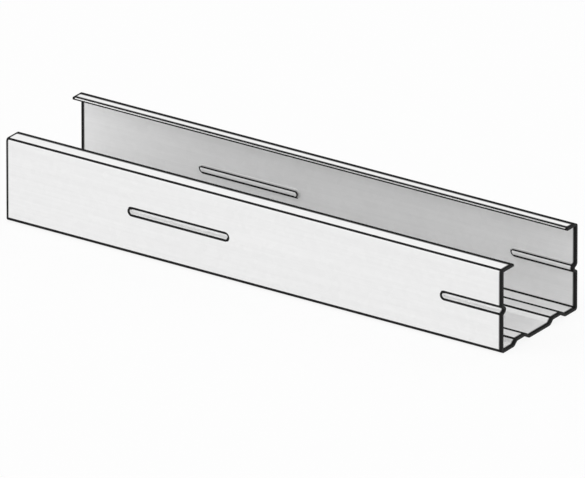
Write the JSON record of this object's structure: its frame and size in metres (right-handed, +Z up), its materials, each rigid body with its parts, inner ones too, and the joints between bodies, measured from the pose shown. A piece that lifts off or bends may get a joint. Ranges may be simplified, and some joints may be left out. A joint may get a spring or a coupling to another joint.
{
  "type": "steel stud",
  "caption": "Cut length of cold-rolled galvanised steel wall stud: a C section with lips, lengthwise ribs in its web and round-ended grooves pressed into its flanges.",
  "frame": {"origin": "middle of the web's underside: halfway along the stud and halfway across the web", "axes": "+X along the stud towards the end that is sheared through the grooves, +Y from the narrow flange to the wide flange, +Z up from the web to the lips"},
  "size_m": [0.333, 0.075, 0.0523],
  "materials": {
    "galvanised_steel": "hot-dip galvanised, skin-passed to a fine even matt, with bare sheared edges"
  },
  "bodies": {
    "root": {"stud": "galvanised_steel"}
  },
  "joints": []
}
